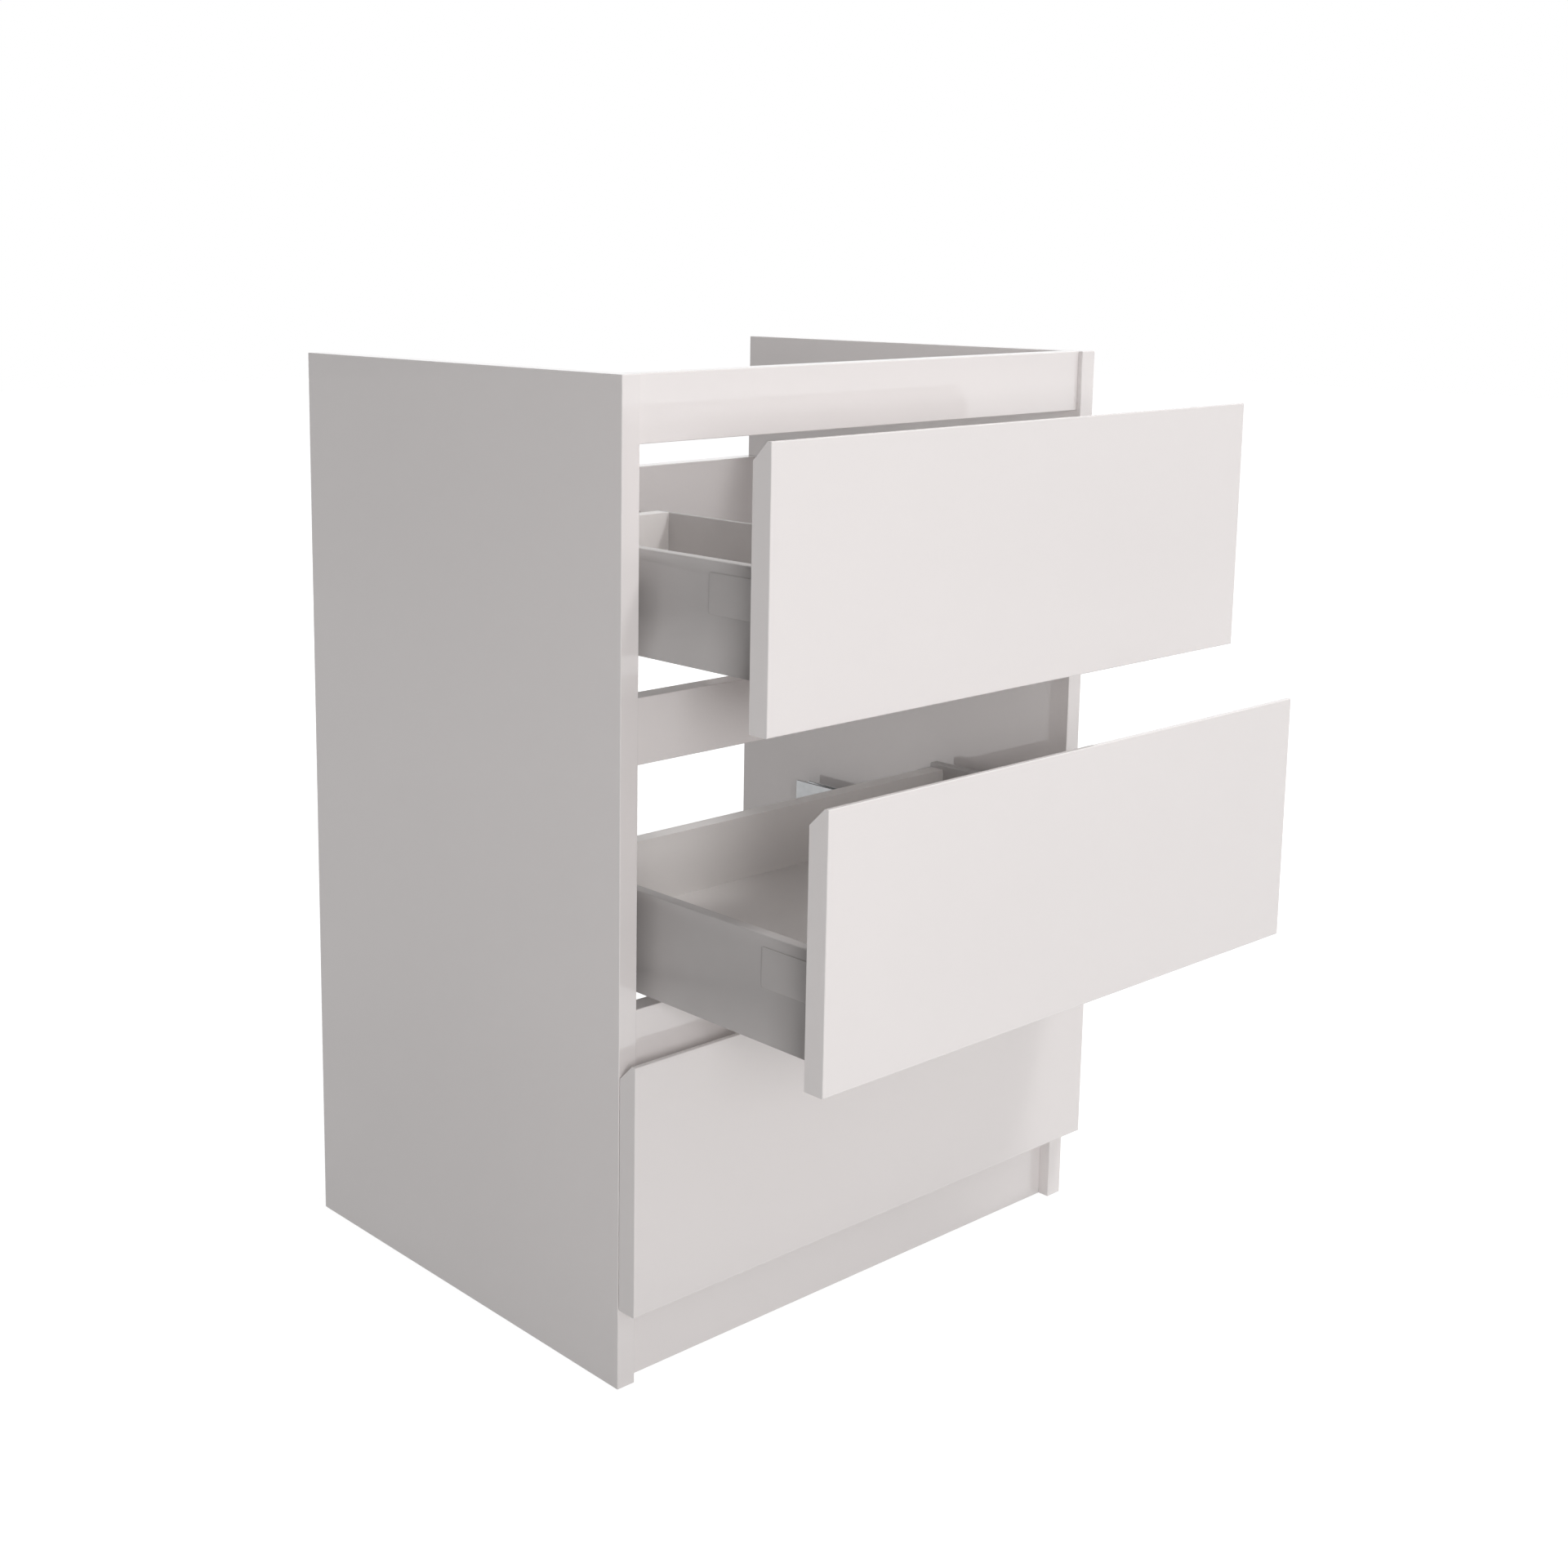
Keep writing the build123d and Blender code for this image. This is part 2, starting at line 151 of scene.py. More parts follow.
LAMP_TARGET = Vector((0.0, 0.0, 0.42))
LAMP_WHITE = (1.0, 0.99, 0.988)
LAMPS = {                  # place, width, height and power
    "key_softbox": ((-1.8, -2.55, 1.15), 1.0, 1.0, 31.5),
    "ceiling_softbox": ((0.9, -0.9, 3.0), 0.6, 0.6, 33.0),
    "right_softbox": ((3.9, -0.6, 1.8), 3.0, 2.4, 45.0),
    "rear_softbox": ((0.4, 4.4, 2.0), 3.0, 2.4, 55.0),
}
for lamp_name, (place, wide, high, power) in LAMPS.items():
    lamp_data = bpy.data.lights.new(lamp_name, "AREA")
    lamp_data.shape = "RECTANGLE"
    lamp_data.size = wide
    lamp_data.size_y = high
    lamp_data.energy = power
    lamp_data.color = LAMP_WHITE
    lamp = bpy.data.objects.new(lamp_name, lamp_data)
    lamp.location = place
    lamp.rotation_euler = (LAMP_TARGET - Vector(place)).to_track_quat("-Z", "Y").to_euler()
    lamp.visible_glossy = False
    bpy.context.scene.collection.objects.link(lamp)

CAMERA_PLACE = (-1.3834, -1.2636, 0.9556)
LOOK_DOWN = 9.825          # degrees
LOOK_RIGHT = 39.519        # degrees from straight at the front
camera_data = bpy.data.cameras.new("photo_camera")
camera_data.lens = 48.379
camera_data.sensor_width = 36.0
camera_data.shift_x = 0.14
camera_data.shift_y = -0.11
camera = bpy.data.objects.new("photo_camera", camera_data)
camera.location = CAMERA_PLACE
camera.rotation_euler = (math.radians(90 - LOOK_DOWN), 0, math.radians(-LOOK_RIGHT))
bpy.context.scene.collection.objects.link(camera)
bpy.context.scene.camera = camera


# Side panels: two 19 mm boards, lacquered white and polished, with edges rounded to 0.8 mm.
# They stand on the floor and carry all the other boards on dowels and cam fittings.

def new_material(name):
    """An empty material, its tree and the object's own coordinates in metres."""
    material = bpy.data.materials.new(name)
    material.use_nodes = True
    tree = material.node_tree
    tree.nodes.clear()
    place = add_node(tree, "ShaderNodeTexCoord").outputs["Object"]
    return material, tree, place


def dress(material, *names):
    """Gives CAD nodes their finish."""
    for name in names:
        slots = frame["nodes"][name].data.materials
        slots.clear()
        slots.append(material)


# High-gloss lacquer, sprayed on primed fibreboard and polished. It gives clear, mirror-like
# reflections in a warm white, with a trace of orange peel and of the polishing pad.
lacquer, tree, place = new_material("polished_white_lacquer")
cloud = add_node(tree, "ShaderNodeTexNoise", {},
                 {"Vector": place, "Scale": 1 / 0.22, "Detail": 2.0})
tone = add_node(tree, "ShaderNodeMix", {"data_type": "RGBA"},
                {"Factor": cloud.outputs["Fac"], "A": srgb("#F2EEED"), "B": srgb("#EFEBEA")})
pad = add_node(tree, "ShaderNodeTexNoise", {},
               {"Vector": place, "Scale": 1 / 0.05, "Detail": 3.0})
gloss = add_node(tree, "ShaderNodeMapRange", {},
                 {"Value": pad.outputs["Fac"], "To Min": 0.03, "To Max": 0.07})
peel = add_node(tree, "ShaderNodeTexNoise", {},
                {"Vector": place, "Scale": 1 / 0.009, "Detail": 1.0})
skin = add_node(tree, "ShaderNodeBump", {},
                {"Strength": 0.5, "Distance": 0.012 * MM, "Height": peel.outputs["Fac"]})
shader = add_node(tree, "ShaderNodeBsdfPrincipled", {},
                  {"Base Color": tone.outputs["Result"], "Roughness": gloss.outputs["Result"],
                   "IOR": 1.5, "Normal": skin.outputs["Normal"], "Coat Weight": 0.6,
                   "Coat Roughness": 0.02, "Coat IOR": 1.6, "Coat Normal": skin.outputs["Normal"]})
add_node(tree, "ShaderNodeOutputMaterial", {}, {"Surface": shader.outputs[0]})

dress(lacquer, "side_panel_left", "side_panel_right")


# Boards between the side panels: three front rails, the rail at the rear that is screwed to
# the wall, the plinth board and the carcass floor, all cut from the same lacquered board.
dress(lacquer, "front_rail_top", "front_rail_middle", "front_rail_lower", "rear_rail",
      "plinth_board", "carcass_floor")


# Dowels: fluted beech pins, 8 by 30 mm, glued into both boards of each carcass joint. The
# flutes let the glue out, and the ends are chamfered.

WELD = 0.001 * MM          # points nearer than this are one point


def solids(node):
    """The separate solids of a CAD node, each as a list of its corner points."""
    work = bmesh.new()
    work.from_mesh(frame["nodes"][node].data)
    bmesh.ops.remove_doubles(work, verts=work.verts, dist=WELD)
    found, known = [], set()
    for first in work.verts:
        if first in known:
            continue
        known.add(first)
        waiting, points = [first], []
        while waiting:
            vert = waiting.pop()
            points.append(vert.co.copy())
            for edge in vert.link_edges:
                other = edge.other_vert(vert)
                if other not in known:
                    known.add(other)
                    waiting.append(other)
        found.append(points)
    work.free()
    return found


def seat(points, aim):
    """Where a fitting starts along its aim, in the middle of its solid, and the aim itself."""
    low = Vector([min(p[i] for p in points) for i in range(3)])
    high = Vector([max(p[i] for p in points) for i in range(3)])
    half = (high - low) / 2
    return (low + high) / 2 - Vector([half[i] * aim[i] for i in range(3)]), Vector(aim)


def outward(points):
    """The way from the cabinet's middle to the side that a solid is on."""
    return (1.0 if points[0].x > 0 else -1.0, 0.0, 0.0)


def share_of(tree, size, share):
    """A share of one of a tree's sizes."""
    return add_node(tree, "ShaderNodeMath", {"operation": "MULTIPLY"},
                    {0: size, 1: share}).outputs[0]


CREASE = math.radians(25)  # a sharper edge than this stays crisp


def fittings(name, sizes, shape):
    """A tree that sets one fitting on each point, turned to the point's aim."""
    tree = bpy.data.node_groups.new(name, "GeometryNodeTree")
    sockets = tree.interface
    sockets.new_socket("Seats", in_out="INPUT", socket_type="NodeSocketGeometry")
    sockets.new_socket("Fittings", in_out="OUTPUT", socket_type="NodeSocketGeometry")
    for size, millimetres in sizes.items():
        made = sockets.new_socket(size, in_out="INPUT", socket_type="NodeSocketFloat")
        made.default_value = millimetres * MM
    sockets.new_socket("Finish", in_out="INPUT", socket_type="NodeSocketMaterial")
    given = add_node(tree, "NodeGroupInput").outputs
    aim = add_node(tree, "GeometryNodeInputNamedAttribute", {"data_type": "FLOAT_VECTOR"},
                   {"Name": "aim"})
    turn = add_node(tree, "GeometryNodeInputNamedAttribute", {"data_type": "FLOAT"},
                    {"Name": "turn"})
    aimed = add_node(tree, "FunctionNodeAlignRotationToVector", {"axis": "Z"},
                     {"Vector": aim.outputs["Attribute"]})
    about = add_node(tree, "FunctionNodeAxisAngleToRotation", {},
                     {"Axis": (0.0, 0.0, 1.0), "Angle": turn.outputs["Attribute"]})
    way = add_node(tree, "FunctionNodeRotateRotation", {"rotation_space": "LOCAL"},
                   {"Rotation": aimed.outputs[0], "Rotate By": about.outputs[0]})
    soft = add_node(tree, "GeometryNodeSetShadeSmooth", {"domain": "FACE"},
                    {"Geometry": shape(tree, given)})
    angle = add_node(tree, "GeometryNodeInputMeshEdgeAngle")
    sharp = add_node(tree, "FunctionNodeCompare", {"operation": "GREATER_THAN"},
                     {"A": angle.outputs["Unsigned Angle"], "B": CREASE})
    crisp = add_node(tree, "GeometryNodeSetShadeSmooth", {"domain": "EDGE"},
                     {"Geometry": soft.outputs[0], "Selection": sharp.outputs[0],
                      "Shade Smooth": False})
    placed = add_node(tree, "GeometryNodeInstanceOnPoints", {},
                      {"Points": given["Seats"], "Instance": crisp.outputs[0],
                       "Rotation": way.outputs[0]})
    real = add_node(tree, "GeometryNodeRealizeInstances", {}, {"Geometry": placed.outputs[0]})
    dressed = add_node(tree, "GeometryNodeSetMaterial", {},
                       {"Geometry": real.outputs[0], "Material": given["Finish"]})
    add_node(tree, "NodeGroupOutput", {}, {"Fittings": dressed.outputs[0]})
    return tree


turns = random.Random(11)


def fit(name, tree, sizes, seats, finish, body, node):
    """Sets a tree's fittings on their seats as one plain mesh, in place of a CAD node."""
    points = bpy.data.meshes.new(name)
    points.from_pydata([place for place, aim in seats], [], [])
    points.attributes.new("aim", "FLOAT_VECTOR", "POINT")
    points.attributes.new("turn", "FLOAT", "POINT")
    for index, (place, aim) in enumerate(seats):
        points.attributes["aim"].data[index].vector = aim
        points.attributes["turn"].data[index].value = turns.uniform(0, math.tau)
    piece = bpy.data.objects.new(name, points)
    bpy.context.scene.collection.objects.link(piece)
    builder = piece.modifiers.new("fittings", "NODES")
    builder.node_group = tree
    for socket in tree.interface.items_tree:
        if socket.name in sizes:
            builder[socket.identifier] = sizes[socket.name] * MM
        if socket.name == "Finish":
            builder[socket.identifier] = finish
    piece.update_tag()
    ready = piece.evaluated_get(bpy.context.evaluated_depsgraph_get())
    solid = bpy.data.meshes.new_from_object(ready)
    piece.modifiers.clear()
    piece.data = solid
    solid.name = name
    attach(piece, body)
    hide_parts(node)
    return piece


# Beech, turned and fluted, then left raw. It is pale pinkish tan, with short dark flecks
# along the grain and a dull surface.
beech, tree, place = new_material("raw_beech")
along = add_node(tree, "ShaderNodeMapping", {}, {"Vector": place, "Scale": (0.12, 1.0, 1.0)})
fleck = add_node(tree, "ShaderNodeTexNoise", {},
                 {"Vector": along.outputs[0], "Scale": 1 / (0.9 * MM), "Detail": 4.0})
ring = add_node(tree, "ShaderNodeTexNoise", {},
                {"Vector": along.outputs[0], "Scale": 1 / (3.5 * MM), "Detail": 1.0})
grain = add_node(tree, "ShaderNodeMix", {"data_type": "RGBA"},
                 {"Factor": ring.outputs["Fac"], "A": srgb("#DDBB92"), "B": srgb("#C99E70")})
spots = add_node(tree, "ShaderNodeMapRange", {},
                 {"Value": fleck.outputs["Fac"], "From Min": 0.58, "From Max": 0.72})
wood = add_node(tree, "ShaderNodeMix", {"data_type": "RGBA"},
                {"Factor": spots.outputs["Result"], "A": grain.outputs["Result"],
                 "B": srgb("#A9774D")})
pores = add_node(tree, "ShaderNodeBump", {},
                 {"Strength": 0.5, "Distance": 0.05 * MM, "Height": fleck.outputs["Fac"]})
shader = add_node(tree, "ShaderNodeBsdfPrincipled", {},
                  {"Base Color": wood.outputs["Result"], "Roughness": 0.62, "IOR": 1.5,
                   "Normal": pores.outputs["Normal"]})
add_node(tree, "ShaderNodeOutputMaterial", {}, {"Surface": shader.outputs[0]})


def dowel_shape(tree, size):
    """A fluted pin that narrows at both ends."""
    flutes = add_node(tree, "GeometryNodeCurveStar", {},
                      {"Points": 16, "Inner Radius": size["Flute Radius"],
                       "Outer Radius": size["Radius"]})
    tip = add_node(tree, "ShaderNodeCombineXYZ", {}, {"Z": size["Length"]})
    line = add_node(tree, "GeometryNodeCurvePrimitiveLine", {}, {"End": tip.outputs[0]})
    steps = add_node(tree, "GeometryNodeResampleCurve", {},
                     {"Curve": line.outputs[0], "Count": 21})
    place = add_node(tree, "GeometryNodeSplineParameter")
    from_end = add_node(tree, "ShaderNodeMath", {"operation": "PINGPONG"},
                        {0: place.outputs["Factor"], 1: 0.5})
    chamfer = add_node(tree, "ShaderNodeMapRange", {},
                       {"Value": from_end.outputs[0], "From Max": 0.05, "To Min": 0.75})
    shaped = add_node(tree, "GeometryNodeSetCurveRadius", {},
                      {"Curve": steps.outputs[0], "Radius": chamfer.outputs["Result"]})
    return add_node(tree, "GeometryNodeCurveToMesh", {},
                    {"Curve": shaped.outputs[0], "Profile Curve": flutes.outputs[0],
                     "Fill Caps": True}).outputs[0]


dowel_sizes = {"Radius": 4.0, "Flute Radius": 3.7, "Length": 30.0}
dowel_tree = fittings("dowels", dowel_sizes, dowel_shape)
fit("beech_dowels", dowel_tree, dowel_sizes,
    [seat(points, outward(points)) for points in solids("carcass_dowels")],
    beech, "carcass", "carcass_dowels")


# Cam fittings: die-cast zinc discs of 15 mm, let in flush from a board's hidden face. A
# quarter turn in the cross recess draws in the bolt, whose thread sits in the side panel.

def joined(tree, *shapes):
    """Several shapes as one."""
    union = add_node(tree, "GeometryNodeJoinGeometry")
    for shape in shapes:
        tree.links.new(shape, union.inputs[0])
    return union.outputs[0]


def turned(tree, stations):
    """A turned solid along +Z: a disc drawn out through stations, each a rise and a radius."""
    radius = stations[0][1]
    base = add_node(tree, "GeometryNodeMeshCircle", {"fill_type": "NGON"},
                    {"Vertices": 32, "Radius": radius})
    near = add_node(tree, "GeometryNodeFlipFaces", {}, {"Mesh": base.outputs[0]})
    shape, end = base.outputs[0], True
    for rise, next_radius in stations[1:]:
        drawn = add_node(tree, "GeometryNodeExtrudeMesh", {"mode": "FACES"},
                         {"Mesh": shape, "Selection": end, "Offset": (0.0, 0.0, 1.0),
                          "Offset Scale": rise, "Individual": False})
        ratio = add_node(tree, "ShaderNodeMath", {"operation": "DIVIDE"},
                         {0: next_radius, 1: radius})
        end = drawn.outputs["Top"]
        shape = add_node(tree, "GeometryNodeScaleElements", {"domain": "FACE"},
                         {"Geometry": drawn.outputs["Mesh"], "Selection": end,
                          "Scale": ratio.outputs[0]}).outputs[0]
        radius = next_radius
    closed = joined(tree, near.outputs[0], shape)
    return add_node(tree, "GeometryNodeMergeByDistance", {},
                    {"Geometry": closed, "Distance": WELD}).outputs[0]


def recessed(tree, solid, span, width, depth):
    """The solid less a cross recess in its near end."""
    for across, along, deep in ((span, width, depth), (width, span, share_of(tree, depth, 0.94))):
        size = add_node(tree, "ShaderNodeCombineXYZ", {}, {"X": across, "Y": along, "Z": deep})
        bar = add_node(tree, "GeometryNodeMeshCube", {}, {"Size": size.outputs[0]})
        cut = add_node(tree, "GeometryNodeMeshBoolean", {"operation": "DIFFERENCE"},
                       {"Mesh 1": solid})
        tree.links.new(bar.outputs["Mesh"], cut.inputs["Mesh 2"])
        solid = cut.outputs["Mesh"]
    return solid


def thread(tree, start, length, radius, pitch, ridge):
    """A screw thread: a ridge that winds round a shank."""
    rounds = add_node(tree, "ShaderNodeMath", {"operation": "DIVIDE"}, {0: length, 1: pitch})
    helix = add_node(tree, "GeometryNodeCurveSpiral", {},
                     {"Resolution": 20, "Rotations": rounds.outputs[0],
                      "Start Radius": radius, "End Radius": radius, "Height": length})
    rib = add_node(tree, "GeometryNodeCurvePrimitiveCircle", {},
                   {"Resolution": 4, "Radius": ridge})
    wound = add_node(tree, "GeometryNodeCurveToMesh", {},
                     {"Curve": helix.outputs[0], "Profile Curve": rib.outputs[0],
                      "Fill Caps": True})
    up = add_node(tree, "ShaderNodeCombineXYZ", {}, {"Z": start})
    return add_node(tree, "GeometryNodeTransform", {},
                    {"Geometry": wound.outputs[0], "Translation": up.outputs[0]}).outputs[0]


# Zinc plate on cold-rolled steel. It is a bright bluish grey metal with soft cloudy patches
# and fine rolling lines along the runners.
zinc, tree, place = new_material("zinc_plated_steel")
rolled = add_node(tree, "ShaderNodeMapping", {}, {"Vector": place, "Scale": (1.0, 0.02, 1.0)})
lines = add_node(tree, "ShaderNodeTexNoise", {},
                 {"Vector": rolled.outputs[0], "Scale": 1 / (0.8 * MM), "Detail": 2.0})
patches = add_node(tree, "ShaderNodeTexNoise", {},
                   {"Vector": place, "Scale": 1 / (14 * MM), "Detail": 3.0})
plate = add_node(tree, "ShaderNodeMix", {"data_type": "RGBA"},
                 {"Factor": patches.outputs["Fac"], "A": srgb("#BDBEBF"), "B": srgb("#A2A4A6")})
dull = add_node(tree, "ShaderNodeMapRange", {},
                {"Value": patches.outputs["Fac"], "To Min": 0.30, "To Max": 0.50})
rolling = add_node(tree, "ShaderNodeBump", {},
                   {"Strength": 0.4, "Distance": 0.01 * MM, "Height": lines.outputs["Fac"]})
shader = add_node(tree, "ShaderNodeBsdfPrincipled", {},
                  {"Base Color": plate.outputs["Result"], "Metallic": 1.0,
                   "Roughness": dull.outputs["Result"], "Normal": rolling.outputs["Normal"]})
add_node(tree, "ShaderNodeOutputMaterial", {}, {"Surface": shader.outputs[0]})


def cam_shape(tree, size):
    """A disc with a chamfered rim, a waist where the bolt enters, and a cross recess."""
    depth, radius = size["Depth"], size["Radius"]
    waist = share_of(tree, radius, 0.9)
    body = turned(tree, [
        (0.0, share_of(tree, radius, 0.93)),
        (share_of(tree, depth, 0.04), radius),
        (share_of(tree, depth, 0.26), radius),
        (0.0, waist),
        (share_of(tree, depth, 0.48), waist),
        (0.0, radius),
        (share_of(tree, depth, 0.22), radius),
    ])
    return recessed(tree, body, size["Recess Span"], size["Recess Width"], size["Recess Depth"])


def bolt_shape(tree, size):
    """A ball head in the cam, a neck, a collar at the panel, and a thread in the panel."""
    length, radius = size["Length"], size["Radius"]
    neck, core = share_of(tree, radius, 0.58), share_of(tree, radius, 0.76)
    shank = turned(tree, [
        (0.0, share_of(tree, radius, 0.6)),
        (share_of(tree, length, 0.05), radius),
        (share_of(tree, length, 0.06), neck),
        (share_of(tree, length, 0.41), neck),
        (0.0, radius),
        (share_of(tree, length, 0.08), radius),
        (0.0, core),
        (share_of(tree, length, 0.37), core),
        (share_of(tree, length, 0.03), share_of(tree, radius, 0.4)),
    ])
    winding = thread(tree, share_of(tree, length, 0.62), share_of(tree, length, 0.33),
                     share_of(tree, radius, 0.78), size["Pitch"], share_of(tree, radius, 0.2))
    return joined(tree, shank, winding)


cam_sizes = {"Radius": 7.5, "Depth": 13.5, "Recess Span": 8.4, "Recess Width": 2.0,
             "Recess Depth": 7.0}
cam_tree = fittings("cams", cam_sizes, cam_shape)
upright_height = (cam_sizes["Radius"] * 2 + cam_sizes["Depth"]) / 2 * MM
cam_seats = []
for points in solids("carcass_cams"):
    height = max(p.z for p in points) - min(p.z for p in points)
    from_below = height < upright_height
    cam_seats.append(seat(points, (0.0, 0.0, 1.0) if from_below else (0.0, -1.0, 0.0)))
fit("carcass_cam_discs", cam_tree, cam_sizes, cam_seats, zinc, "carcass",
    "carcass_cams")

bolt_sizes = {"Radius": 3.0, "Length": 27.5, "Pitch": 1.5}
bolt_tree = fittings("cam_bolts", bolt_sizes, bolt_shape)
fit("carcass_cam_studs", bolt_tree, bolt_sizes,
    [seat(points, outward(points)) for points in solids("carcass_cam_bolts")],
    zinc, "carcass", "carcass_cam_bolts")


# Runners: for each drawer side, a cabinet member screwed to the side panel, a middle member
# that travels half as far as the drawer, and a drawer member inside the hollow drawer side.

FLAT = math.radians(1)     # faces nearer in line than this are one face
SHARP = math.radians(30)   # an edge is eased where its faces turn more than this


def eased_copy(name, node, radius, finish, body):
    """A CAD node's own shape with its sharp edges eased, in place of the node."""
    mesh = bpy.data.meshes.new(name)
    work = bmesh.new()
    work.from_mesh(frame["nodes"][node].data)
    bmesh.ops.remove_doubles(work, verts=work.verts, dist=WELD)
    bmesh.ops.dissolve_limit(work, angle_limit=FLAT, verts=work.verts, edges=work.edges)
    for face in work.faces:
        face.smooth = True
    work.to_mesh(mesh)
    work.free()
    mesh.materials.append(finish)
    piece = bpy.data.objects.new(name, mesh)
    bpy.context.scene.collection.objects.link(piece)
    easing = piece.modifiers.new("eased_edges", "BEVEL")
    easing.width = radius * MM
    easing.segments = 2
    easing.limit_method = "ANGLE"
    easing.angle_limit = SHARP
    easing.harden_normals = True
    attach(piece, body)
    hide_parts(node)
    return piece


for number in (1, 2, 3):
    for side in ("left", "right"):
        for member in ("cabinet_member", "middle_member", "drawer_member"):
            dress(zinc, f"runner_{number}_{member}_{side}")


def screw_shape(tree, size):
    """A pan head with a cross recess, a shank, its point and its thread."""
    head, high, shank, length = (size["Head Radius"], size["Head Height"], size["Shank Radius"],
                                 size["Length"])
    core = share_of(tree, shank, 0.8)
    body = turned(tree, [
        (0.0, share_of(tree, head, 0.72)),
        (share_of(tree, high, 0.5), share_of(tree, head, 0.98)),
        (share_of(tree, high, 0.1), head),
        (share_of(tree, high, 0.4), head),
        (0.0, core),
        (share_of(tree, length, 0.6), core),
        (share_of(tree, length, 0.25), share_of(tree, core, 0.1)),
    ])
    body = recessed(tree, body, size["Recess Span"], size["Recess Width"], size["Recess Depth"])
    winding = thread(tree, share_of(tree, length, 0.25), share_of(tree, length, 0.55),
                     share_of(tree, shank, 0.8), size["Pitch"], share_of(tree, shank, 0.2))
    return joined(tree, body, winding)


screw_sizes = {"Head Radius": 4.0, "Head Height": 2.2, "Shank Radius": 2.0, "Length": 15.2,
               "Recess Span": 4.4, "Recess Width": 0.9, "Recess Depth": 2.6, "Pitch": 1.4}
small_screw_sizes = screw_sizes | {"Head Radius": 3.05, "Shank Radius": 1.5, "Recess Span": 3.4,
                                   "Recess Width": 0.8}
screw_tree = fittings("pan_head_screws", screw_sizes, screw_shape)
fit("runner_pan_head_screws", screw_tree, screw_sizes,
    [seat(points, outward(points)) for points in solids("runner_screws")],
    zinc, "carcass", "runner_screws")


# Drawer bottoms and backs: 16 mm particleboard faced with white melamine. The bottom lies on
# the steel sides' floor lips and is screwed from below, and the back is screwed to their lugs.

# Melamine facing, pressed with a fine pearl texture. It is satin, with no clear reflections,
# and a little greyer than the lacquer.
melamine, tree, place = new_material("pearl_white_melamine")
mist = add_node(tree, "ShaderNodeTexNoise", {},
                {"Vector": place, "Scale": 1 / (90 * MM), "Detail": 3.0})
paper_tone = add_node(tree, "ShaderNodeMix", {"data_type": "RGBA"},
                      {"Factor": mist.outputs["Fac"], "A": srgb("#EDEAE8"), "B": srgb("#E6E3E1")})
pearl = add_node(tree, "ShaderNodeTexNoise", {},
                 {"Vector": place, "Scale": 1 / (1.6 * MM), "Detail": 2.0})
sheen = add_node(tree, "ShaderNodeMapRange", {},
                 {"Value": pearl.outputs["Fac"], "To Min": 0.28, "To Max": 0.46})
press = add_node(tree, "ShaderNodeBump", {},
                 {"Strength": 0.5, "Distance": 0.03 * MM, "Height": pearl.outputs["Fac"]})
shader = add_node(tree, "ShaderNodeBsdfPrincipled", {},
                  {"Base Color": paper_tone.outputs["Result"], "Roughness": sheen.outputs["Result"],
                   "IOR": 1.5, "Normal": press.outputs["Normal"]})
add_node(tree, "ShaderNodeOutputMaterial", {}, {"Surface": shader.outputs[0]})
dress(melamine, "drawer_1_bottom", "drawer_2_bottom", "drawer_3_bottom", "drawer_1_back_left",
      "drawer_1_back_right", "drawer_2_back", "drawer_3_back")


# Drawer sides: a double wall folded from 1.2 mm steel sheet, 88 mm high, powder coated grey,
# with a floor lip for the bottom board and a lug behind for the back.

# Powder coat, sprayed dry and baked. It is an even warm light grey, satin, with a very fine
# pebbled skin.
powder, tree, place = new_material("powder_coated_steel")
batch = add_node(tree, "ShaderNodeTexNoise", {},
                 {"Vector": place, "Scale": 1 / (60 * MM), "Detail": 2.0})
coat = add_node(tree, "ShaderNodeMix", {"data_type": "RGBA"},
                {"Factor": batch.outputs["Fac"], "A": srgb("#BEBBBA"), "B": srgb("#B8B5B4")})
pebble = add_node(tree, "ShaderNodeTexNoise", {},
                  {"Vector": place, "Scale": 1 / (1.1 * MM), "Detail": 2.0})
satin = add_node(tree, "ShaderNodeMapRange", {},
                 {"Value": pebble.outputs["Fac"], "To Min": 0.32, "To Max": 0.48})
skin = add_node(tree, "ShaderNodeBump", {},
                {"Strength": 0.6, "Distance": 0.03 * MM, "Height": pebble.outputs["Fac"]})
shader = add_node(tree, "ShaderNodeBsdfPrincipled", {},
                  {"Base Color": coat.outputs["Result"], "Roughness": satin.outputs["Result"],
                   "IOR": 1.5, "Normal": skin.outputs["Normal"]})
add_node(tree, "ShaderNodeOutputMaterial", {}, {"Surface": shader.outputs[0]})
for number in (1, 2, 3):
    for side in ("left", "right"):
        eased_copy(f"steel_side_{number}_{side}", f"drawer_{number}_side_{side}", 0.25, powder,
                   f"drawer_{number}")


# Trap surround: a U-shaped wall moulded in grey plastic, let in to the bottom and the back of
# the top drawer, which leaves room for the basin's trap.

# ABS, injection moulded in a spark-eroded tool. It is a mid grey with a dull, finely
# speckled surface.
plastic, tree, place = new_material("moulded_grey_abs")
flow = add_node(tree, "ShaderNodeTexNoise", {},
                {"Vector": place, "Scale": 1 / (40 * MM), "Detail": 2.0})
dye = add_node(tree, "ShaderNodeMix", {"data_type": "RGBA"},
               {"Factor": flow.outputs["Fac"], "A": srgb("#C6C3C2"), "B": srgb("#C0BDBC")})
spark = add_node(tree, "ShaderNodeTexNoise", {},
                 {"Vector": place, "Scale": 1 / (0.7 * MM), "Detail": 3.0})
dullness = add_node(tree, "ShaderNodeMapRange", {},
                    {"Value": spark.outputs["Fac"], "To Min": 0.42, "To Max": 0.6})
erosion = add_node(tree, "ShaderNodeBump", {},
                   {"Strength": 0.6, "Distance": 0.03 * MM, "Height": spark.outputs["Fac"]})
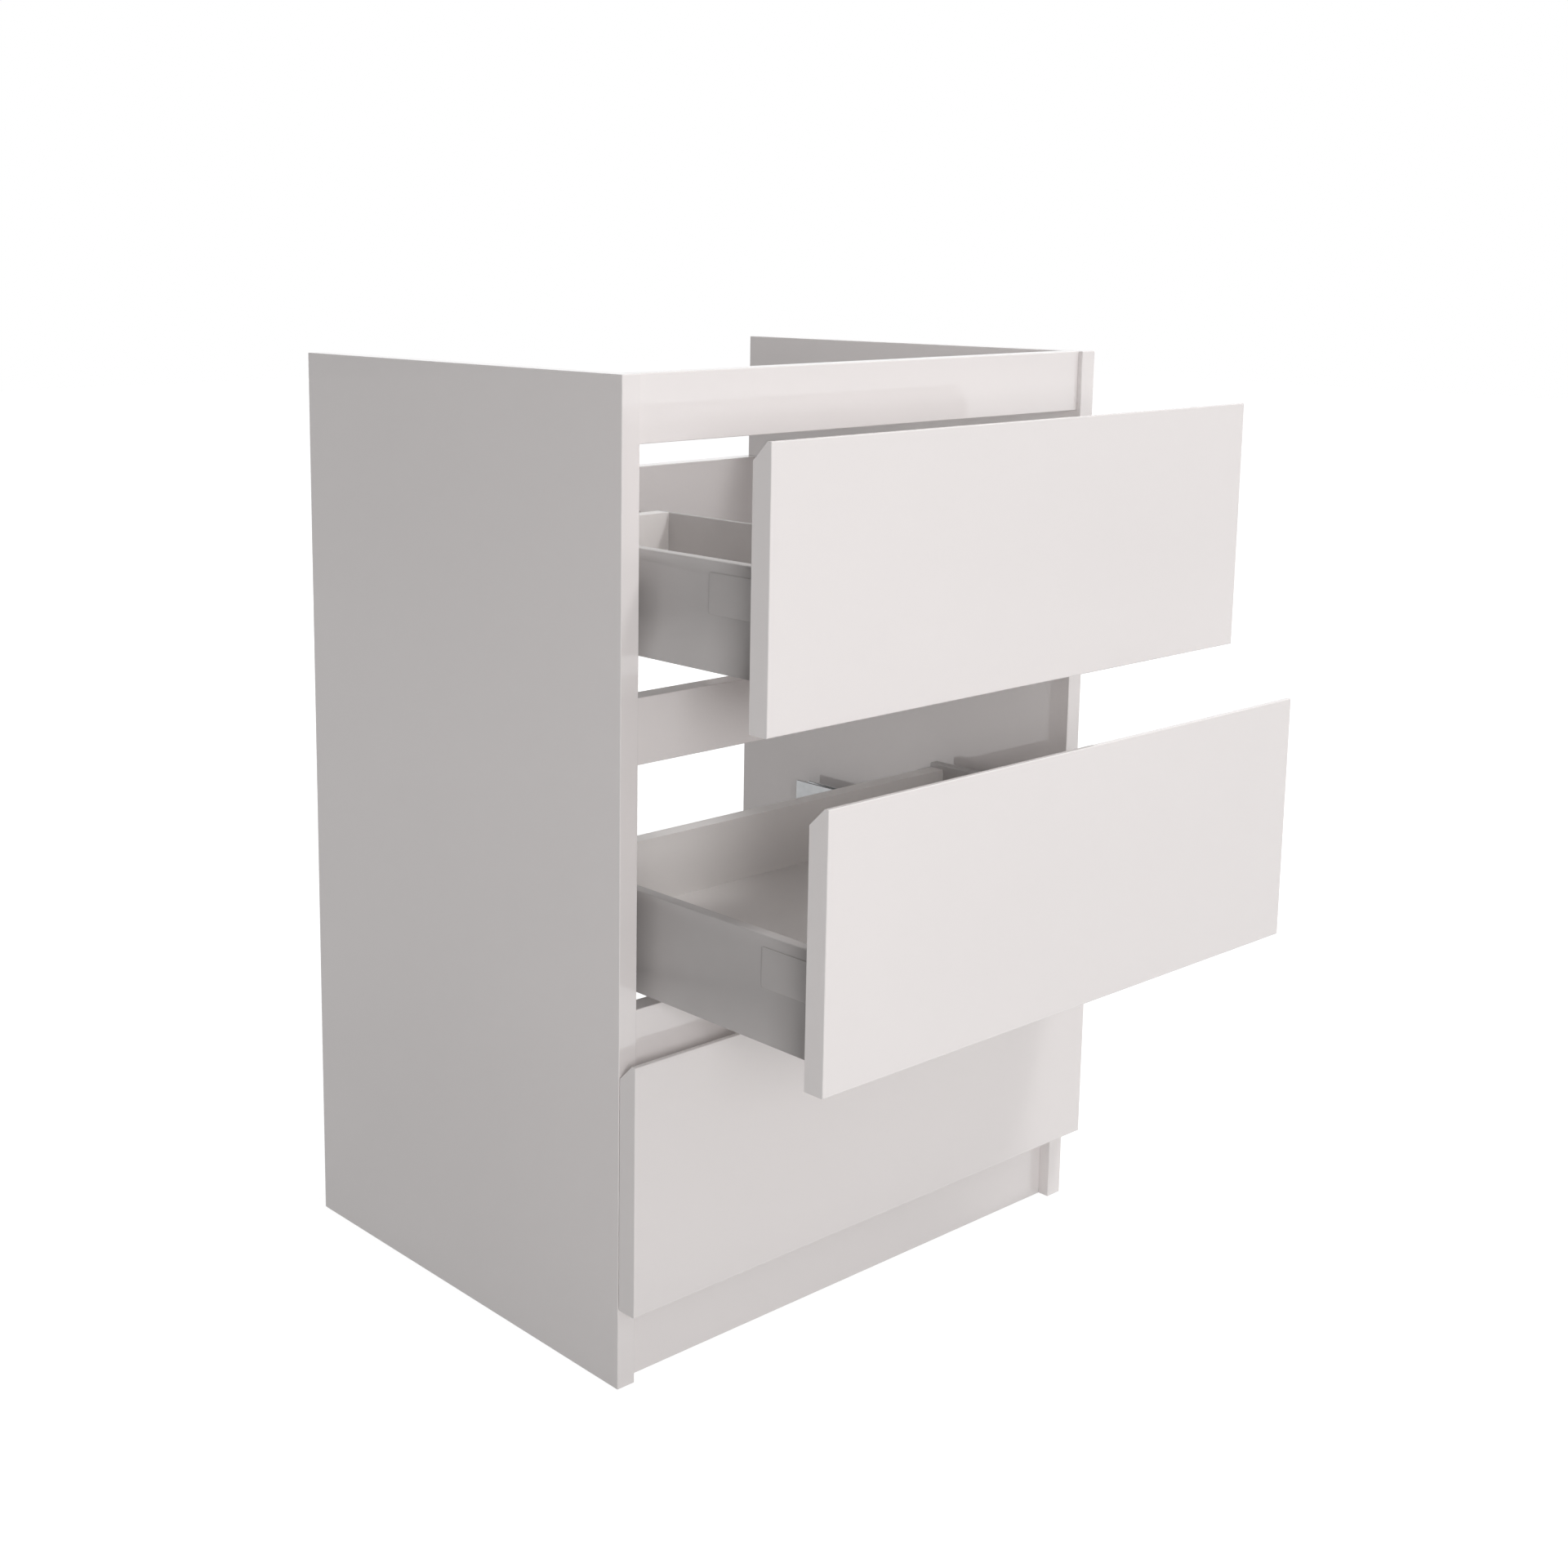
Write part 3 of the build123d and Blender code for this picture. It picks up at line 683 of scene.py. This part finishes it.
shader = add_node(tree, "ShaderNodeBsdfPrincipled", {},
                  {"Base Color": dye.outputs["Result"], "Roughness": dullness.outputs["Result"],
                   "IOR": 1.53, "Normal": erosion.outputs["Normal"]})
add_node(tree, "ShaderNodeOutputMaterial", {}, {"Surface": shader.outputs[0]})
eased_copy("moulded_trap_surround", "drawer_1_trap_surround", 1.0, plastic, "drawer_1")


# Front fixings: a steel bracket inside each drawer side, two screws into the front, and a
# cover cap snapped over its window. More screws hold the bottom and the back.
SMALL_SCREW_SPAN = 6.5 * MM     # only the front's screws have narrower heads
for number in (1, 2, 3):
    body = f"drawer_{number}"
    eased_copy(f"front_brackets_{number}", f"{body}_front_brackets", 0.4, zinc, body)
    eased_copy(f"snap_cover_caps_{number}", f"{body}_cover_caps", 0.2, plastic, body)
    small, large = [], []
    for points in solids(f"{body}_screws"):
        spans = [max(p[i] for p in points) - min(p[i] for p in points) for i in range(3)]
        if spans[2] > spans[1]:
            large.append(seat(points, (0.0, 0.0, 1.0)))
        elif spans[0] < SMALL_SCREW_SPAN:
            small.append(seat(points, (0.0, -1.0, 0.0)))
        else:
            large.append(seat(points, (0.0, -1.0, 0.0)))
    fit(f"box_screws_{number}", screw_tree, screw_sizes, large, zinc, body,
        f"{body}_screws")
    fit(f"front_screws_{number}", screw_tree, small_screw_sizes, small, zinc, body,
        f"{body}_screws")


# Drawer fronts: 19 mm lacquered boards without handles. The upper edge slants away behind,
# 15 by 15 mm, for the fingers. Four soft buffer pads on the rear face meet the carcass.
dress(lacquer, "drawer_1_front", "drawer_2_front", "drawer_3_front")

# Soft polyurethane, cast as clear domes on an adhesive film. It is milky, a little yellow,
# and smooth.
rubber, tree, place = new_material("clear_polyurethane")
milk = add_node(tree, "ShaderNodeTexNoise", {},
                {"Vector": place, "Scale": 1 / (2 * MM), "Detail": 1.0})
cast = add_node(tree, "ShaderNodeMix", {"data_type": "RGBA"},
                {"Factor": milk.outputs["Fac"], "A": srgb("#E4E3DC"), "B": srgb("#D9D8D0")})
shader = add_node(tree, "ShaderNodeBsdfPrincipled", {},
                  {"Base Color": cast.outputs["Result"], "Roughness": 0.18, "IOR": 1.49,
                   "Transmission Weight": 0.45})
add_node(tree, "ShaderNodeOutputMaterial", {}, {"Surface": shader.outputs[0]})


def buffer_shape(tree, size):
    """A low dome."""
    high, radius = size["Thickness"], size["Radius"]
    return turned(tree, [
        (0.0, radius),
        (share_of(tree, high, 0.35), share_of(tree, radius, 0.97)),
        (share_of(tree, high, 0.30), share_of(tree, radius, 0.85)),
        (share_of(tree, high, 0.22), share_of(tree, radius, 0.60)),
        (share_of(tree, high, 0.13), share_of(tree, radius, 0.25)),
    ])


buffer_sizes = {"Radius": 4.0, "Thickness": 1.0}
buffer_tree = fittings("buffer_pads", buffer_sizes, buffer_shape)
for number in (1, 2, 3):
    fit(f"buffer_pads_{number}", buffer_tree, buffer_sizes,
        [seat(points, (0.0, 1.0, 0.0)) for points in solids(f"drawer_{number}_buffers")],
        rubber, f"drawer_{number}", f"drawer_{number}_buffers")
